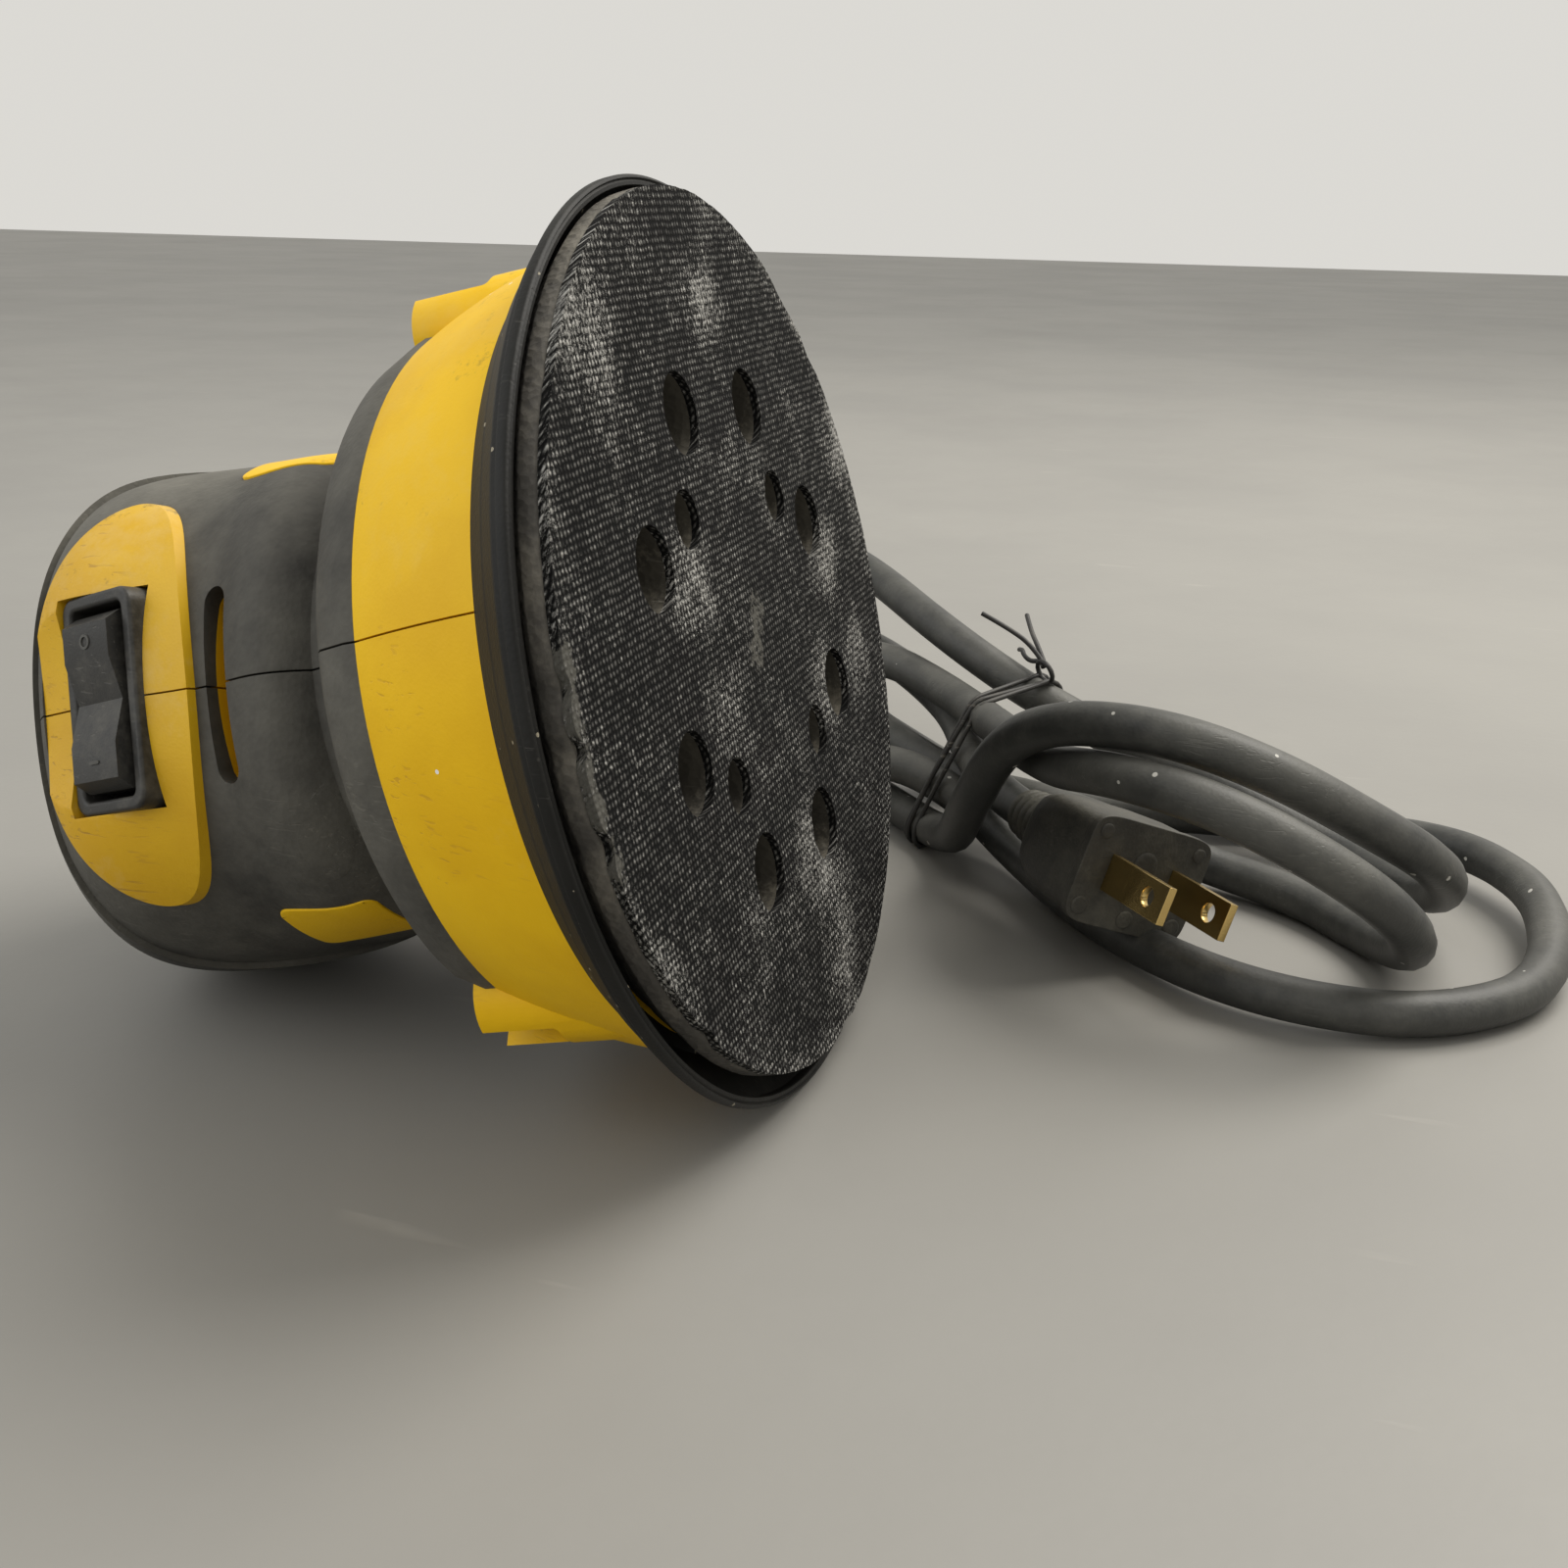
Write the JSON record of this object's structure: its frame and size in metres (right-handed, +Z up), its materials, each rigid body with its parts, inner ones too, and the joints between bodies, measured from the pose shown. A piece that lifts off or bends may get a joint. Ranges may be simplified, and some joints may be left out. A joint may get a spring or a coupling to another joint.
{
  "type": "orbital sander",
  "caption": "Corded palm-grip random-orbit sander with a perforated hook-faced pad, lying on its side beside its tied cord.",
  "frame": {"origin": "middle of the tool's footprint on the table, without its cord", "axes": "+Z up from the table, +X where the sanding pad faces, -Y where the switch faces, the tool lying on its side"},
  "size_m": [0.2426, 0.2572, 0.1269],
  "materials": {
    "yellow_plastic": "satin",
    "black_rubber": "matte",
    "hook_fabric": "woven hook facing",
    "pad_foam": "foam",
    "black_plastic": "satin",
    "aluminium": "die cast",
    "steel": "machined",
    "iron": "laminated",
    "copper": "copper",
    "brass": "polished",
    "carbon": "carbon"
  },
  "bodies": {
    "case": {"baffle_screws": "steel", "bezel_left": "yellow_plastic", "bezel_right": "yellow_plastic", "brush_holder_left": "brass", "brush_holder_right": "brass", "brush_left": "carbon", "brush_right": "carbon", "brush_spring_left": "steel", "brush_spring_right": "steel", "capacitor": "black_plastic", "case_screws": "steel", "cord_hank": "black_rubber", "cord_lead": "black_rubber", "cord_tie": "black_plastic", "dust_port": "black_plastic", "fan_baffle": "black_plastic", "field_coils": "copper", "field_core": "iron", "grip_left": "black_rubber", "grip_right": "black_rubber", "housing_left": "yellow_plastic", "housing_right": "yellow_plastic", "lower_bearing_outer": "steel", "motor_bracket": "aluminium", "palm_grip": "black_rubber", "plug_blades": "brass", "plug_body": "black_rubber", "shroud_ring": "black_rubber", "side_plate_left": "yellow_plastic", "side_plate_right": "yellow_plastic", "strain_relief": "black_rubber", "switch_body": "black_plastic", "switch_frame": "black_rubber", "upper_bearing_outer": "steel"},
    "rotor": {"motor_shaft": "steel", "armature_core": "iron", "armature_windings": "copper", "commutator": "copper", "lower_bearing_inner": "steel", "upper_bearing_inner": "steel", "fan": "black_plastic", "counterweight": "iron", "pad_bearing_inner": "steel"},
    "pad": {"hook_face": "hook_fabric", "foam_pad": "pad_foam", "pad_plate": "black_plastic", "pad_carrier": "aluminium", "pad_screws": "steel", "pad_bearing_outer": "steel"},
    "rocker": {"rocker": "black_rubber"}
  },
  "joints": [
    {"name": "rotor_spin", "type": "hinge", "parent": "case", "child": "rotor", "pos_m": [-0.00534, -0.00898, 0.05041], "axis": [-0.9721, 0, -0.2345], "continuous": true},
    {"name": "pad_spin", "type": "hinge", "parent": "rotor", "child": "pad", "pos_m": [0.04298, -0.00898, 0.06331], "axis": [-0.9721, 0, -0.2345], "continuous": true},
    {"name": "rocker_tilt", "type": "hinge", "parent": "case", "child": "rocker", "pos_m": [-0.02959, -0.0378, 0.05477], "axis": [-0.9248, 0.2287, -0.3041], "range_deg": [-7, 7]}
  ]
}
